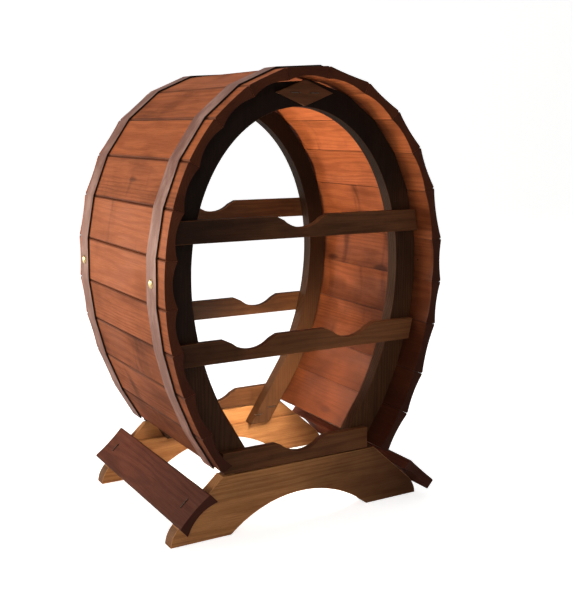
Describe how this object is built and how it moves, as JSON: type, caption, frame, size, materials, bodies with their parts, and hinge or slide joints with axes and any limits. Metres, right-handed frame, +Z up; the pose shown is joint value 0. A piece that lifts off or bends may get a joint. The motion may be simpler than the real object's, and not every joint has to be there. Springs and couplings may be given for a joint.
{
  "type": "barrel wine rack",
  "caption": "Free-standing wooden wine rack shaped like an open oval barrel of staves, with notched rails that hold bottles, on an arched cradle base.",
  "frame": {"origin": "on the floor, under the middle of the rack's bounding box", "axes": "+Z up, the front that bottles go in from faces -Y, +X to the right seen from the front"},
  "size_m": [0.4004, 0.3, 0.5736],
  "materials": {
    "stave_wood": "reddish-brown stain, satin, fine grain along the stave",
    "slat_wood": "dark reddish-brown stain, satin",
    "ring_wood": "brown stain, satin",
    "rail_wood": "brown stain, satin",
    "plate_wood": "brown stain, satin",
    "base_wood": "tan-brown stain, satin, strong grain",
    "hoop_strap": "mauve-brown paint, satin",
    "tack_brass": "worn polish",
    "staple_steel": "bright wire"
  },
  "bodies": {
    "root": {"front_base_board": "base_wood", "front_hoop": "hoop_strap", "front_hoop_tacks": "tack_brass", "front_lower_rail": "rail_wood", "front_middle_rail": "rail_wood", "front_plate_staples": "staple_steel", "front_ring_left": "ring_wood", "front_ring_right": "ring_wood", "front_top_plate": "plate_wood", "front_upper_rail": "rail_wood", "left_slat": "slat_wood", "left_slat_staples": "staple_steel", "rear_base_board": "base_wood", "rear_hoop": "hoop_strap", "rear_hoop_tacks": "tack_brass", "rear_leg_staples": "staple_steel", "rear_lower_rail": "rail_wood", "rear_middle_rail": "rail_wood", "rear_plate_staples": "staple_steel", "rear_ring_left": "ring_wood", "rear_ring_right": "ring_wood", "rear_tie_board": "base_wood", "rear_top_plate": "plate_wood", "rear_upper_rail": "rail_wood", "right_slat": "slat_wood", "right_slat_staples": "staple_steel", "stave_01": "stave_wood", "stave_02": "stave_wood", "stave_03": "stave_wood", "stave_04": "stave_wood", "stave_05": "stave_wood", "stave_06": "stave_wood", "stave_07": "stave_wood", "stave_08": "stave_wood", "stave_09": "stave_wood", "stave_10": "stave_wood", "stave_11": "stave_wood", "stave_12": "stave_wood", "stave_13": "stave_wood", "stave_14": "stave_wood", "stave_15": "stave_wood", "stave_16": "stave_wood", "stave_17": "stave_wood", "stave_18": "stave_wood", "stave_19": "stave_wood", "stave_20": "stave_wood", "stave_21": "stave_wood"}
  },
  "joints": []
}
